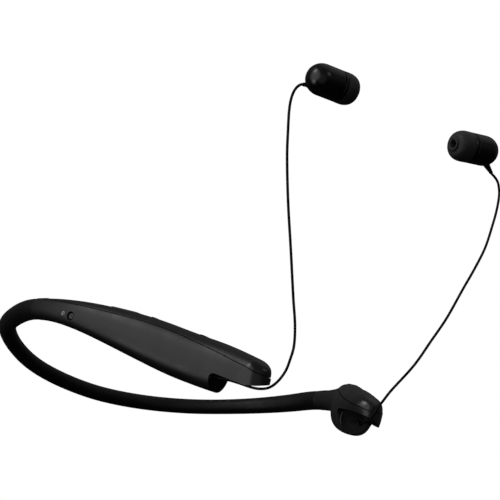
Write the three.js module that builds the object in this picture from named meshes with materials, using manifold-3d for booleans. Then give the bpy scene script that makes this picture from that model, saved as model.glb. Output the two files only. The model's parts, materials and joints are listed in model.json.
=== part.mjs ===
// Neckband earphones with two corded earbuds that reel back into the arms.
// Units are millimetres. +X is the wearer's right, +Y points forward to the arm tips, +Z is up.
// The origin lies where the nape of the neck touches the middle of the band.
import * as THREE from 'three';
import { mergeVertices } from 'three/addons/utils/BufferGeometryUtils.js';
import Module from 'manifold-3d';

const wasm = await Module();
wasm.setup();
const { smoothstep, degToRad } = THREE.MathUtils;

// ---------------------------------------------------------------- driving dimensions
const GAP = 0.3;                 // clearance left between neighbouring solids
const WALL = 1.3;                // wall of the arm mouldings
const BACK_RADIUS = 3.35;        // silicone band behind the neck
const SEAM_RADIUS = 4.15;        // silicone band where it enters an arm
const SEAM_AT = 118.9;           // from the nape to the seam, along the band
const ARM_LENGTH = 109.8;        // from the seam to the end of the hood, along the arm
const NOSE_OUTER = 5.8;          // rounded end of the hood, on its outer side
const NOSE_INNER = 11;           // and on its inner side
const HOOD_START = 88.2;         // the socket face, along the arm
const HOLLOW_START = 5;          // inside of the arm mouldings
const HOLLOW_END = 82.2;
const COVER_START = 5;           // the top cover begins here
const SPLIT_STEPS = 44;          // stations of the parting surface
const ARM_HEIGHT_ABOVE = 9.1;    // spine to top at the deepest section
const ARM_HEIGHT_BELOW = 9.3;    // spine to underside at the deepest section
const ARM_HALF_WIDTH = 7.25;
const SECTION_POWER = 0.77;      // 1 is an ellipse, less is squarer
const SOCKET_RADIUS = 6.0;
const SOCKET_DROP = -3.2;        // socket axis, below the spine
const CRADLE_CENTRE = [0, -2];
const CORD_OUT = 2.6;            // the cord's outlet in the socket, from the spine
const CORD_UP = -4.1;
const EARBUD_RADIUS = 5.9;
const TIP_RADIUS = 5.95;
const CORD_DIAMETER = 1.0;
const CORE_DIAMETER = 1.2;
const LEAD_DIAMETER = 1.0;
const REEL_AT = 64.9;            // reel axle, along the arm
const REEL_RADIUS = 6.0;
const FLAP_DEPTH = 0.35;
const PAWL_OUT = -3.2;           // inner face of the ratchet and the pawl
const PAWL_UP = 0.6;

// Right half of the band's centreline, from the nape to the end of the hood.
const SPINE = [
  [0, -3, 0], [13, -2.9, 0.6], [25, -1, 1.8], [36, 3.3, 3.4], [46.5, 10.4, 5.5], [57.7, 20.6, 8.6],
  [66.4, 32.8, 11.7], [70.5, 47.5, 14.1], [71.8, 62.8, 16], [70.1, 78.1, 15.7], [65, 92.8, 14.2],
  [57.3, 106.5, 11.8], [48.7, 119.3, 9], [40.4, 131.7, 6], [33.1, 144.4, 3.4], [28, 155.5, 1.9],
  [24.9, 164.5, 1.5], [24, 169.5, 1.5],
];

// Free cords from socket to strain relief, points chosen by hand.
const RIGHT_CORD = [
  [34.65, 147.25, -1], [33.3, 149.3, -1.1], [31.2, 152, -1.3], [28.3, 154.8, -1.7], [26.1, 158, -2.3],
  [24.7, 161.5, -2.6], [23.7, 165, -2.2], [23.4, 168, -1.2], [23.5, 172, 1.4], [23.5, 174.5, 4.7],
  [23.5, 175.5, 8.3], [23.5, 176.1, 13], [25.5, 177, 20], [29.1, 177.4, 29.4], [34.8, 177.8, 45.3],
  [40.8, 178.1, 62], [45.6, 178.3, 77.7], [47.4, 178.5, 85.2], [48.4, 178.7, 89.3], [49, 178.8, 92.1],
  [49.5, 179, 96], [49.4, 179.4, 99.3], [48.6, 179.7, 101.6], [47.6, 179.8, 102.8], [46.9, 179.8, 103.3],
];
const LEFT_CORD = [
  [-34.65, 147.25, -1], [-33.2, 149.8, -1.3], [-31.2, 152.8, -2], [-28.6, 156, -2.5], [-26.4, 159.6, -2.7],
  [-24.6, 163.3, -2.6], [-23.7, 166.3, -2.1], [-23.5, 168.3, 0.2], [-23.8, 170, 3.2], [-24.1, 172, 6.1],
  [-24.6, 174, 9.3], [-31.8, 176, 21.6], [-36.7, 176.8, 32.1], [-41.6, 177.2, 42.3], [-46.3, 177.6, 55],
  [-50, 178, 64.9], [-52.9, 178.2, 74], [-54.2, 178.4, 83.5], [-54.6, 178.6, 89], [-54.4, 178.8, 94.5],
  [-53.6, 179, 97.6], [-51.9, 179.3, 100.2], [-49.8, 179.4, 101.6], [-48, 179.4, 102.3],
];

// Earbud centres and cord outlets are given for the right side; the left one is mirrored.
const EARBUDS = {
  right: {
    centre: [34.1, 180.9, 107.9],
    tilt: 3,
    cord: RIGHT_CORD,
    outlet: [40.3, 180.5, 104.8],
    way: [0.97, -0.1, -0.22],
  },
  left: {
    centre: [34.4, 180.9, 107.9],
    tilt: -10,
    cord: LEFT_CORD,
    outlet: [42.1, 180.4, 105.5],
    way: [0.87, -0.15, -0.465],
  },
};
const RELIEF_LENGTH = 6.4;

// ---------------------------------------------------------------- materials
const satinBlack = { color: 0x1b1b1d, roughness: 0.42, metalness: 0 };
const siliconeBlack = { color: 0x0d0d0e, roughness: 0.62, metalness: 0 };
const glossBlack = { color: 0x060607, roughness: 0.12, metalness: 0 };
const tipGrey = { color: 0x1c1c1e, roughness: 0.8, metalness: 0 };
const steel = { color: 0x9a9da1, roughness: 0.3, metalness: 1 };
const boardGreen = { color: 0x14402a, roughness: 0.5, metalness: 0 };
const cellSilver = { color: 0x8d9196, roughness: 0.45, metalness: 0.6 };
const milky = { color: 0xb9bcc0, roughness: 0.3, metalness: 0 };

// ---------------------------------------------------------------- the spine and its frame
const spinePoints = SPINE.map((p) => new THREE.Vector3(...p));
const mirroredPoints = spinePoints.slice(1).reverse().map((p) => new THREE.Vector3(-p.x, p.y, p.z));
const spine = new THREE.CatmullRomCurve3([...mirroredPoints, ...spinePoints]);
spine.arcLengthDivisions = 2000;
const SPINE_LENGTH = spine.getLength();
const UP = new THREE.Vector3(0, 0, 1);

// The frame at a distance from the nape: along the spine, outward and upward.
function spineFrame(distance) {
  const half = SPINE_LENGTH / 2;
  const share = 0.5 + distance / SPINE_LENGTH;
  const at = spine.getPointAt(THREE.MathUtils.clamp(share, 0, 1));
  const along = spine.getTangentAt(THREE.MathUtils.clamp(share, 0, 1));
  at.addScaledVector(along, distance - THREE.MathUtils.clamp(distance, -half, half));
  const outward = new THREE.Vector3().crossVectors(along, UP).normalize();
  const upward = new THREE.Vector3().crossVectors(outward, along);
  return { at, along, outward, upward };
}

function place(distance, out, up) {
  const f = spineFrame(distance);
  return f.at.clone().addScaledVector(f.outward, out).addScaledVector(f.upward, up);
}

// A matrix whose X, Y and Z run outward, along and upward on the right arm.
function armMatrix(along, out = 0, up = 0) {
  const f = spineFrame(SEAM_AT + along);
  const matrix = new THREE.Matrix4().makeBasis(f.outward, f.along, f.upward);
  return matrix.setPosition(place(SEAM_AT + along, out, up));
}

// ---------------------------------------------------------------- solid helpers
function toManifold(geometry) {
  const bare = geometry.index ? geometry.toNonIndexed() : geometry.clone();
  bare.deleteAttribute('normal');
  bare.deleteAttribute('uv');
  const merged = mergeVertices(bare, 1e-4);
  return new wasm.Manifold(new wasm.Mesh({
    numProp: 3,
    vertProperties: new Float32Array(merged.getAttribute('position').array),
    triVerts: new Uint32Array(merged.index.array),
  }));
}

function toGeometry(manifold) {
  const mesh = manifold.getMesh();
  const geometry = new THREE.BufferGeometry();
  geometry.setAttribute('position', new THREE.BufferAttribute(new Float32Array(mesh.vertProperties), 3));
  geometry.setIndex(new THREE.BufferAttribute(new Uint32Array(mesh.triVerts), 1));
  return geometry;
}

function cut(geometry, ...tools) {
  return toGeometry(tools.reduce((solid, tool) => solid.subtract(toManifold(tool)), toManifold(geometry)));
}

function join(geometry, ...others) {
  return toGeometry(others.reduce((solid, other) => solid.add(toManifold(other)), toManifold(geometry)));
}

const evenly = (share) => share;

// A closed body along the spine, whose section is given as (out, up) for a distance and an angle.
function sweep(from, to, around, steps, section, spacing = evenly) {
  const body = new THREE.CylinderGeometry(1, 1, 1, around, steps);
  const position = body.getAttribute('position');
  for (let i = 0; i < position.count; i += 1) {
    const distance = from + (to - from) * spacing(position.getY(i) + 0.5);
    const reach = Math.hypot(position.getX(i), position.getZ(i));
    const angle = Math.atan2(position.getZ(i), position.getX(i));
    const centre = section(distance, null);
    const [out, up] = section(distance, angle);
    const p = place(distance, centre[0] + (out - centre[0]) * reach, centre[1] + (up - centre[1]) * reach);
    position.setXYZ(i, p.x, p.y, p.z);
  }
  return body;
}

// A four-sided band along the arm between two heights and two side distances.
function slab(from, to, steps, outLow, outHigh, upLow, upHigh) {
  const body = new THREE.BoxGeometry(1, 1, 1, 1, steps, 1);
  const position = body.getAttribute('position');
  for (let i = 0; i < position.count; i += 1) {
    const along = from + (to - from) * (position.getY(i) + 0.5);
    const out = outLow + (outHigh - outLow) * (position.getX(i) + 0.5);
    const up = position.getZ(i) > 0 ? upHigh(along, out) : upLow(along, out);
    const p = place(SEAM_AT + along, out, up);
    position.setXYZ(i, p.x, p.y, p.z);
  }
  return body;
}

// Lathe about Y, from a list of [radius, height] that starts and ends on the axis or closes on itself.
function lathe(profile, segments = 20) {
  return new THREE.LatheGeometry(profile.map(([r, y]) => new THREE.Vector2(r, y)), segments);
}

function rod(radius, length, segments = 12) {
  return new THREE.CylinderGeometry(radius, radius, length, segments);
}

// A rod that lies outward across the arm, in the arm's own frame.
function crossRod(radius, length, segments = 12) {
  return rod(radius, length, segments).rotateZ(-Math.PI / 2);
}

function uprightRod(radius, length, segments = 12) {
  return rod(radius, length, segments).rotateX(Math.PI / 2);
}

function onArm(geometry, along, out = 0, up = 0) {
  return geometry.clone().applyMatrix4(armMatrix(along, out, up));
}

function mirror(geometry) {
  const flipped = geometry.clone().applyMatrix4(new THREE.Matrix4().makeScale(-1, 1, 1));
  const plain = flipped.index ? flipped.toNonIndexed() : flipped;
  const position = plain.getAttribute('position');
  const turned = new Float32Array(position.array.length);
  for (let i = 0; i < position.count; i += 3) {
    [0, 2, 1].forEach((source, target) => {
      turned.set(position.array.slice((i + source) * 3, (i + source) * 3 + 3), (i + target) * 3);
    });
  }
  const geometryOut = new THREE.BufferGeometry();
  geometryOut.setAttribute('position', new THREE.BufferAttribute(turned, 3));
  return geometryOut;
}

const group = new THREE.Group();
group.name = 'neckband_earphones';

function addPart(name, geometry, look) {
  const mesh = new THREE.Mesh(geometry, new THREE.MeshStandardMaterial(look));
  mesh.name = name;
  group.add(mesh);
}

// Adds a piece modelled on the right arm to one side.
function addSided(side, name, geometry, look) {
  addPart(`${side}_${name}`, side === 'right' ? geometry : mirror(geometry), look);
}

// ---------------------------------------------------------------- arm outline
const swell = (along) => smoothstep(along, 0, 74);
const topSwell = (along) => (
  1 - (1 - smoothstep(along, -10, 66)) / (1 - smoothstep(0, -10, 66))
);

// Plan rounding of the hood's end, 1 behind it and 0 at a wall's thickness from the end.
function noseRound(along, length, wall = 0) {
  const share = (along - (ARM_LENGTH - length)) / (length - wall);
  return Math.sqrt(1 - THREE.MathUtils.clamp(share, 0, 1) ** 2);
}

const noseLength = (cos) => (cos > 0 ? NOSE_OUTER : NOSE_INNER);
const noseFall = (along) => 0.35 + 0.65 * noseRound(along, NOSE_OUTER);
const hoodDrop = (along) => 5.4 * Math.max(0, (along - 82) / 31) ** 2;
const ridge = (along) => (
  SEAM_RADIUS + (ARM_HEIGHT_ABOVE - SEAM_RADIUS) * topSwell(along) - hoodDrop(along)
);
const topOf = (along) => ridge(along) * noseFall(along);
const bottomOf = (along) => SEAM_RADIUS + (ARM_HEIGHT_BELOW - SEAM_RADIUS) * swell(along);
const hoodTaper = (along) => 2.6 * Math.max(0, (along - 90) / 23) ** 2;
const halfWidthOf = (along) => (
  SEAM_RADIUS + (ARM_HALF_WIDTH - SEAM_RADIUS) * swell(along) - hoodTaper(along)
);
const lidDepth = (along) => 1.3 + 1.9 * smoothstep(along, 0, 40) + 1.8 * smoothstep(along, 64, 99);
const splitAt = (along) => (ridge(along) - lidDepth(along)) * noseFall(along);

// Lower edge of the hood: it slants up from the outer side to the inner one.
function hoodEdge(along, out) {
  const share = smoothstep(along, HOOD_START, HOOD_START + 20);
  return SOCKET_DROP - share + (0.2 + 0.13 * share) * (7 - 2.8 * share - out);
}

// Squared oval section of the arm, shrunk inward by inset.
function armSection(inset) {
  return (distance, angle) => {
    if (angle === null) return [0, 0];
    const along = distance - SEAM_AT;
    const cos = Math.cos(angle);
    const sin = Math.sin(angle);
    const height = sin > 0 ? topOf(along) : bottomOf(along);
    return [
      Math.sign(cos) * Math.abs(cos) ** SECTION_POWER
        * (halfWidthOf(along) * noseRound(along, noseLength(cos)) - inset),
      Math.sign(sin) * Math.abs(sin) ** SECTION_POWER * (height - inset),
    ];
  };
}

function armSweep(from, to, inset, steps) {
  return sweep(SEAM_AT + from, SEAM_AT + to, 16, steps, armSection(inset));
}

// The whole outline up to the hood's end, with its stations drawn together at the nose.
function outlineSweep(from) {
  const to = ARM_LENGTH - 0.05;
  const bend = 0.75;
  const noseShare = (to - NOSE_OUTER - from) / (to - from);
  const spacing = (share) => (share < bend
    ? (share / bend) * noseShare
    : noseShare + (1 - noseShare) * Math.sin(((share - bend) / (1 - bend)) * (Math.PI / 2)));
  return sweep(SEAM_AT + from, SEAM_AT + to, 16, 24, armSection(0), spacing);
}

const far = () => 16;
const deep = () => -16;

// The space under the hood, set in from its outer wall and from its lid.
function cradleSweep(from, to, sideInset, roofInset) {
  return sweep(SEAM_AT + from, SEAM_AT + to, 16, 10, (distance, angle) => {
    if (angle === null) return CRADLE_CENTRE;
    const along = distance - SEAM_AT;
    const round = noseRound(along, noseLength(Math.cos(angle)), WALL);
    const half = (halfWidthOf(along) - sideInset) * round;
    const height = splitAt(along) - roofInset - CRADLE_CENTRE[1];
    const squared = (value) => Math.sign(value) * Math.abs(value) ** 0.7;
    return [
      CRADLE_CENTRE[0] + half * squared(Math.cos(angle)),
      CRADLE_CENTRE[1] + height * squared(Math.sin(angle)),
    ];
  });
}

// ---------------------------------------------------------------- band
function bandTube(outer, steps, around, endGap) {
  const end = SEAM_AT - endGap;
  return sweep(-end, end, around, steps, (distance, angle) => {
    if (angle === null) return [0, 0];
    const radius = outer(Math.abs(distance));
    return [radius * Math.cos(angle), radius * Math.sin(angle)];
  });
}

function addBand() {
  const outer = (d) => BACK_RADIUS + (SEAM_RADIUS - BACK_RADIUS) * smoothstep(d, 55, SEAM_AT);
  const bore = () => 1.9;
  addPart('band_sleeve', cut(bandTube(outer, 36, 12, GAP), bandTube(bore, 36, 6, -2)), siliconeBlack);
  const wire = (radius, up, reach) => sweep(-reach, reach, 5, 36, (distance, angle) => (
    angle === null ? [0, up] : [radius * Math.cos(angle), up + radius * Math.sin(angle)]
  ));
  addPart('band_spring_core', wire(CORE_DIAMETER / 2, 0.8, SEAM_AT + 6), steel);
  addPart('band_lead_wires', wire(LEAD_DIAMETER / 2, -0.8, SEAM_AT + 11), siliconeBlack);
}

// ---------------------------------------------------------------- arm mouldings
function faceOpening(width, length, along, out = 0) {
  return onArm(new THREE.BoxGeometry(width, length, 12), along, out, topOf(along));
}

function housingBody() {
  const shell = outlineSweep(0);
  const hollow = armSweep(HOLLOW_START, HOLLOW_END, WALL, 12);
  const collarBore = onArm(rod(2.6, 14, 12), HOLLOW_START - 1);
  const aboveSplit = slab(COVER_START, ARM_LENGTH + 6, SPLIT_STEPS, -12, 12, splitAt, far);
  const cradle = cradleSweep(HOOD_START, ARM_LENGTH - WALL - 0.1, 1.15, -1.5);
  const underHood = slab(HOOD_START, ARM_LENGTH + 6, 10, -12, 12, deep, hoodEdge);
  const socketPocket = onArm(rod(SOCKET_RADIUS + GAP, 4, 24), HOOD_START, 0.2, SOCKET_DROP);
  const cordBore = onArm(rod(1.4, 14, 10), HOOD_START - 4, CORD_OUT, CORD_UP);
  return cut(shell, hollow, collarBore, aboveSplit, cradle, underHood, socketPocket, cordBore);
}

function coverBody() {
  const shell = outlineSweep(COVER_START + GAP);
  const hollow = armSweep(HOLLOW_START + 3, HOLLOW_END, WALL, 12);
  const seat = (along) => splitAt(along) + GAP;
  const belowSplit = slab(COVER_START, ARM_LENGTH + 6, SPLIT_STEPS, -12, 12, deep, seat);
  return cut(shell, hollow, belowSplit);
}

function addMouldings(side, controls) {
  const flapRecess = new THREE.BoxGeometry(3.2, 11, 5).translate(-0.75, -4.2, 0);
  const details = side === 'right'
    ? [
      onArm(crossRod(1.75, 8), controls.power, 5, -1.2),
      onArm(crossRod(0.75, 8), controls.lamp, 5, -0.9),
      onArm(new THREE.BoxGeometry(5.2, 8.2, 3.4), controls.port, -4.2, 0),
      onArm(flapRecess, controls.port + 5, -halfWidthOf(controls.port + 5), 0),
    ]
    : [];
  addSided(side, 'housing', cut(housingBody(), ...details), satinBlack);
  const openings = [
    faceOpening(4.8, 14.6, controls.rocker),
    onArm(uprightRod(2.5, 12), controls.call, 0, topOf(controls.call)),
    onArm(uprightRod(2.5, 12), controls.retract, 0, topOf(controls.retract)),
  ];
  addSided(side, 'top_cover', cut(coverBody(), ...openings), satinBlack);
}

// The ferrule that ties the spring core to the arm.
function addFerrule(side) {
  const body = cut(rod(2.3, 6, 12), rod(1.75, 10, 12));
  addSided(side, 'core_ferrule', onArm(body, 3.6), steel);
}

// Glossy liner of the cradle under the hood.
function addCradleLiner(side) {
  const end = ARM_LENGTH - NOSE_INNER;
  const outside = cradleSweep(HOOD_START + 2, end, 1.45, 0.3);
  const inside = cradleSweep(HOOD_START + 1, end + 1, 2.25, 1.1);
  const edge = (along, out) => hoodEdge(along, out) + 0.4;
  const below = slab(HOOD_START, ARM_LENGTH, 8, -12, 12, deep, edge);
  addSided(side, 'cradle_liner', cut(outside, inside, below), glossBlack);
}

// The round socket that an earbud backs into, with the cord's outlet.
function addSocket(side) {
  const profile = [
    [0, -0.9], [SOCKET_RADIUS, -0.9], [SOCKET_RADIUS, 0.9], [SOCKET_RADIUS - 0.8, 0.9],
    [SOCKET_RADIUS - 1.6, 0.2], [0, 0.2],
  ];
  const outlet = rod(0.85, 8, 10).translate(CORD_OUT - 0.2, 0, CORD_UP - SOCKET_DROP);
  const socket = cut(lathe(profile, 24), outlet);
  addSided(side, 'earbud_socket', onArm(socket, HOOD_START, 0.2, SOCKET_DROP), glossBlack);
}

// ---------------------------------------------------------------- cord reel
function ratchetOutline(radius, teeth) {
  const outline = new THREE.Shape();
  for (let i = 0; i < teeth; i += 1) {
    const start = (i / teeth) * 2 * Math.PI;
    const end = ((i + 0.9) / teeth) * 2 * Math.PI;
    const low = radius - 0.7;
    if (i === 0) outline.moveTo(low * Math.cos(start), low * Math.sin(start));
    else outline.lineTo(low * Math.cos(start), low * Math.sin(start));
    outline.lineTo(radius * Math.cos(end), radius * Math.sin(end));
  }
  outline.closePath();
  return outline;
}

function spiralOutline(inner, outer, turns, thickness) {
  const outline = new THREE.Shape();
  const steps = turns * 10;
  const point = (share, offset) => {
    const radius = inner + (outer - inner) * share + offset;
    const angle = share * turns * 2 * Math.PI;
    return [radius * Math.cos(angle), radius * Math.sin(angle)];
  };
  outline.moveTo(...point(0, 0));
  for (let i = 1; i <= steps; i += 1) outline.lineTo(...point(i / steps, 0));
  for (let i = steps; i >= 0; i -= 1) outline.lineTo(...point(i / steps, thickness));
  outline.closePath();
  return outline;
}

// Turns a flat outline in X and Y into a plate that stands across the arm.
function crossPlate(outline, thickness, out) {
  const plate = new THREE.ExtrudeGeometry(outline, { depth: thickness, bevelEnabled: false });
  return plate.rotateY(Math.PI / 2).translate(out, 0, 0);
}

function addReel(side) {
  const drum = join(
    crossRod(3.1, 4.4, 16).translate(-0.4, 0, 0),
    crossRod(REEL_RADIUS, 0.8, 24).translate(1.6, 0, 0),
    crossPlate(ratchetOutline(REEL_RADIUS, 16), 0.8, PAWL_OUT),
  );
  addSided(side, 'reel_drum', onArm(cut(drum, crossRod(1.1, 14)), REEL_AT), glossBlack);
  addSided(side, 'reel_axle', onArm(crossRod(0.8, 8.2, 10).translate(-0.1, 0, 0), REEL_AT), steel);
  const spring = crossPlate(spiralOutline(1.3, 4.6, 4, 0.25), 1.1, 2.4);
  addSided(side, 'power_spring', onArm(spring, REEL_AT), steel);
}

// Pawl that holds the drum; its tail lies under the retract button's stem.
function addPawl(side, controls) {
  const outline = new THREE.Shape();
  outline.moveTo(-2.9, -0.9);
  outline.lineTo(0, -1.1);
  outline.lineTo(3.4, -0.5);
  outline.lineTo(3.4, 0.5);
  outline.lineTo(0, 1.1);
  outline.lineTo(-2.2, 0.7);
  outline.closePath();
  const plate = new THREE.ExtrudeGeometry(outline, { depth: 0.8, bevelEnabled: false });
  const basis = new THREE.Matrix4().makeBasis(
    new THREE.Vector3(0, 1, 0), new THREE.Vector3(0, 0, 1), new THREE.Vector3(1, 0, 0),
  );
  const lever = cut(plate.applyMatrix4(basis), crossRod(0.5, 6, 8));
  addSided(side, 'reel_pawl', onArm(lever, controls.pawl, PAWL_OUT, PAWL_UP), steel);
  addSided(side, 'pawl_pin', onArm(crossRod(0.3, 4, 8), controls.pawl, PAWL_OUT + 0.4, PAWL_UP), steel);
}

// ---------------------------------------------------------------- buttons
function roundButton(capRadius, stemRadius, stemLength) {
  return lathe([
    [0, -stemLength], [stemRadius, -stemLength], [stemRadius, -1.6], [capRadius, -1.6],
    [capRadius, -0.05], [capRadius - 0.4, 0.15], [0, 0.25],
  ], 16).rotateX(Math.PI / 2);
}

function addControls(side, controls, rockerName, callName) {
  const retractTop = topOf(controls.retract);
  const stemLength = retractTop - PAWL_UP - 1.1;
  const foot = new THREE.BoxGeometry(3.8, 1.4, 1).translate(-1.5, 0, 0.5 - stemLength);
  const retract = join(roundButton(2.2, 0.9, stemLength), foot);
  addSided(side, 'retract_button', onArm(retract, controls.retract, 0, retractTop), satinBlack);
  const call = roundButton(2.2, 0.9, 3);
  addSided(side, callName, onArm(call, controls.call, 0, topOf(controls.call)), satinBlack);
  const rocker = join(
    new THREE.BoxGeometry(4.1, 13.8, 1.6).translate(0, 0, -0.5),
    crossRod(1.1, 4.1, 10).translate(0, 0, -1),
  );
  const rockerTop = topOf(controls.rocker) - 0.1;
  addSided(side, rockerName, onArm(rocker, controls.rocker, 0, rockerTop), satinBlack);
}

function addPowerButton(controls) {
  const button = lathe([
    [0, -1.9], [1.0, -1.9], [1.0, -1.4], [1.45, -1.4], [1.45, -0.1], [1.2, 0.15], [0, 0],
  ], 16).rotateZ(-Math.PI / 2);
  const face = halfWidthOf(controls.power);
  addSided('right', 'power_button', onArm(button, controls.power, face - 0.45, -1.2), satinBlack);
  const lens = crossRod(0.45, 1.4, 10);
  const lensPlace = halfWidthOf(controls.lamp) - 0.75;
  addSided('right', 'status_lens', onArm(lens, controls.lamp, lensPlace, -0.9), milky);
}

// ---------------------------------------------------------------- electronics
function addRightElectronics(controls) {
  const board = new THREE.BoxGeometry(0.8, 30, 5).translate(-0.3, 0, 0);
  addPart('main_board', onArm(board, controls.board, 0.5, 0), boardGreen);
  const mouth = new THREE.BoxGeometry(3.2, 6.6, 1.9).translate(-0.6, 0, 0);
  const shell = cut(new THREE.BoxGeometry(3.2, 7.4, 2.6), mouth);
  addPart('charging_port', onArm(shell, controls.port, -2.5, 0), steel);
  const flap = join(
    new THREE.BoxGeometry(0.6, 9, 4.2).translate(0, -4.5, 0),
    uprightRod(0.3, 4.2, 10),
  );
  const hinge = controls.port + 5;
  addPart('port_flap', onArm(flap, hinge, FLAP_DEPTH - halfWidthOf(hinge)), siliconeBlack);
  addPart('microphone', onArm(new THREE.BoxGeometry(1, 3, 2.2), controls.board + 11, 2, 0), cellSilver);
}

function addLeftElectronics() {
  const cell = new THREE.BoxGeometry(4.2, 25, 7);
  addPart('battery_cell', mirror(onArm(cell, 38.5, -0.4, 0)), cellSilver);
  addPart('vibration_motor', mirror(onArm(crossRod(3.2, 2.4, 16), 20, 0, 0)), steel);
}

// ---------------------------------------------------------------- earbuds
// Earbud pieces are turned about Y, with +Y towards the ear, then set at the ear.
function earbudMatrix(side) {
  const { centre, tilt } = EARBUDS[side];
  const angle = degToRad(tilt);
  const inward = new THREE.Vector3(-Math.cos(angle), 0, Math.sin(angle));
  const upward = new THREE.Vector3(Math.sin(angle), 0, Math.cos(angle));
  const forward = new THREE.Vector3().crossVectors(inward, upward);
  return new THREE.Matrix4().makeBasis(forward, inward, upward).setPosition(...centre);
}

function addEarbud(side) {
  const matrix = earbudMatrix(side);
  const add = (name, geometry, look) => addSided(side, name, geometry.applyMatrix4(matrix), look);
  const r = EARBUD_RADIUS;
  const { outlet, way } = EARBUDS[side];
  const reliefTurn = new THREE.Quaternion().setFromUnitVectors(
    new THREE.Vector3(0, 1, 0), new THREE.Vector3(...way).normalize(),
  );
  const reliefPlace = new THREE.Matrix4().makeRotationFromQuaternion(reliefTurn).setPosition(...outlet);
  const cap = lathe([
    [0, -11.6], [2.6, -11.2], [4.5, -9.9], [5.6, -8], [r, -5.6], [r, 1], [r - 1, 1],
    [r - 1, -5.6], [4.5, -7.4], [3.6, -9], [2, -10.1], [0, -10.5],
  ], 18);
  const reliefHole = rod(1.85, 12, 12).applyMatrix4(reliefPlace);
  addSided(side, 'earbud_rear_cap', cut(cap.applyMatrix4(matrix), reliefHole), glossBlack);
  const relief = new THREE.CylinderGeometry(0.75, 1.45, RELIEF_LENGTH, 12)
    .translate(0, RELIEF_LENGTH / 2, 0);
  addSided(side, 'cord_strain_relief', relief.applyMatrix4(reliefPlace), siliconeBlack);
  add('earbud_housing', lathe([
    [4.6, -3.1], [4.6, 1.3], [r, 1.3], [r, 2], [5.4, 2.6], [2.6, 2.6], [2.6, 7], [1.7, 7], [1.7, 1.6],
    [4.2, 0.9], [4.2, -3.1], [4.6, -3.1],
  ], 18), glossBlack);
  add('driver', lathe([[0, -3], [3.9, -3], [3.9, -0.4], [3, 0.3], [0, 0.3]], 20), steel);
  add('nozzle_mesh', lathe([[0, 6.4], [1.4, 6.4], [1.4, 6.7], [0, 6.7]], 14), steel);
  add('ear_tip', lathe([
    [2.9, 3], [3.7, 3], [3.7, 6.2], [4.5, 6.6], [5, 5.6], [5.2, 2.9], [TIP_RADIUS, 2.9],
    [TIP_RADIUS, 5.2], [5.6, 7.3], [4.6, 8.5], [3.1, 9], [2.6, 9.8], [1.9, 9.8], [1.5, 9.2],
    [1.5, 7.6], [2.9, 7.4], [2.9, 3],
  ], 18), tipGrey);
}

function addCord(side) {
  const route = EARBUDS[side].cord.map((p) => new THREE.Vector3(...p));
  const path = new THREE.CatmullRomCurve3(route);
  const section = new THREE.Shape();
  const sides = 8;
  for (let i = 0; i < sides; i += 1) {
    const angle = (i / sides) * 2 * Math.PI;
    const corner = [Math.cos(angle) * CORD_DIAMETER / 2, Math.sin(angle) * CORD_DIAMETER / 2];
    if (i === 0) section.moveTo(...corner);
    else section.lineTo(...corner);
  }
  section.closePath();
  const tube = new THREE.ExtrudeGeometry(section, { extrudePath: path, steps: 48, bevelEnabled: false });
  addPart(`${side}_earbud_cord`, tube, siliconeBlack);
}

// ---------------------------------------------------------------- assembly
const CONTROLS = {
  lamp: 18.8, power: 22.7, port: 34, board: 38, rocker: 42, call: 55, retract: 76.4, pawl: 74.1,
};

addBand();
for (const [side, rockerName, callName] of [
  ['right', 'track_rocker', 'play_button'], ['left', 'volume_rocker', 'call_button'],
]) {
  addMouldings(side, CONTROLS);
  addFerrule(side);
  addCradleLiner(side);
  addSocket(side);
  addReel(side);
  addPawl(side, CONTROLS);
  addControls(side, CONTROLS, rockerName, callName);
  addEarbud(side);
  addCord(side);
}
addPowerButton(CONTROLS);
addRightElectronics(CONTROLS);
addLeftElectronics();

export default group;
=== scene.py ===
"""Looks of the neckband earphones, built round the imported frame.

Metres, with +X to the wearer's right, +Y forward to the arm tips and +Z up. Pieces of an arm are made
once, on the right arm, in its own terms: along from the seam, out from the spine and up from it. The
left arm mirrors them.
"""

import json
import math

import bmesh
import bpy
import numpy as np
from mathutils import Matrix, Vector


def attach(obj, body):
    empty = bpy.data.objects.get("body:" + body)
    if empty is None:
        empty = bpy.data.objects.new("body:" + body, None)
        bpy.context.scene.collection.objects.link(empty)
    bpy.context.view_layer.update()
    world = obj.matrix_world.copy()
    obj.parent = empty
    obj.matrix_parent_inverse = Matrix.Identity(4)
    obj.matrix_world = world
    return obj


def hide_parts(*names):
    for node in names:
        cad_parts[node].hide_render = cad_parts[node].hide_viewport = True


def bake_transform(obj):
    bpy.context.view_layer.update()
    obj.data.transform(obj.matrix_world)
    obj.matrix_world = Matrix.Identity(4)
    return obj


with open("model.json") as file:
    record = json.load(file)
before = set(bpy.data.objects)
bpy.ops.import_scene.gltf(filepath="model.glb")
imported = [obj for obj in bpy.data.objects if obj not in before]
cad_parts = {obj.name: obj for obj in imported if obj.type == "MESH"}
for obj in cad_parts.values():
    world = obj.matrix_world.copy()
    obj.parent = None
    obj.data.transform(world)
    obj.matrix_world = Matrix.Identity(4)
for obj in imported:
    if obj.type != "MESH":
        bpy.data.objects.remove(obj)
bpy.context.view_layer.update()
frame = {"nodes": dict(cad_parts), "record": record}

# ---------------------------------------------------------------- driving dimensions
BACK_RADIUS = 0.00335         # silicone band behind the neck
SEAM_RADIUS = 0.00415         # silicone band where it enters an arm
SEAM_AT = 0.1189              # from the nape to the seam
SEAM_GAP = 0.00004            # between the sleeve and the arm's collar
ARM_LENGTH = 0.1098           # from the seam to the end of the hood
NOSE_OUTER = 0.0058           # rounded end of the hood, on its outer side
NOSE_INNER = 0.011            # and on its inner side
HOOD_START = 0.0882           # the socket face
LID_START = 0.005             # the closed collar ends here
HEIGHT_ABOVE = 0.0091         # spine to top at the deepest section
HEIGHT_BELOW = 0.0093         # and spine to bottom
HALF_WIDTH = 0.00725
SECTION_POWER = 0.77          # 1 is an ellipse, less is squarer
WALL = 0.00115                # of the mouldings
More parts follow.
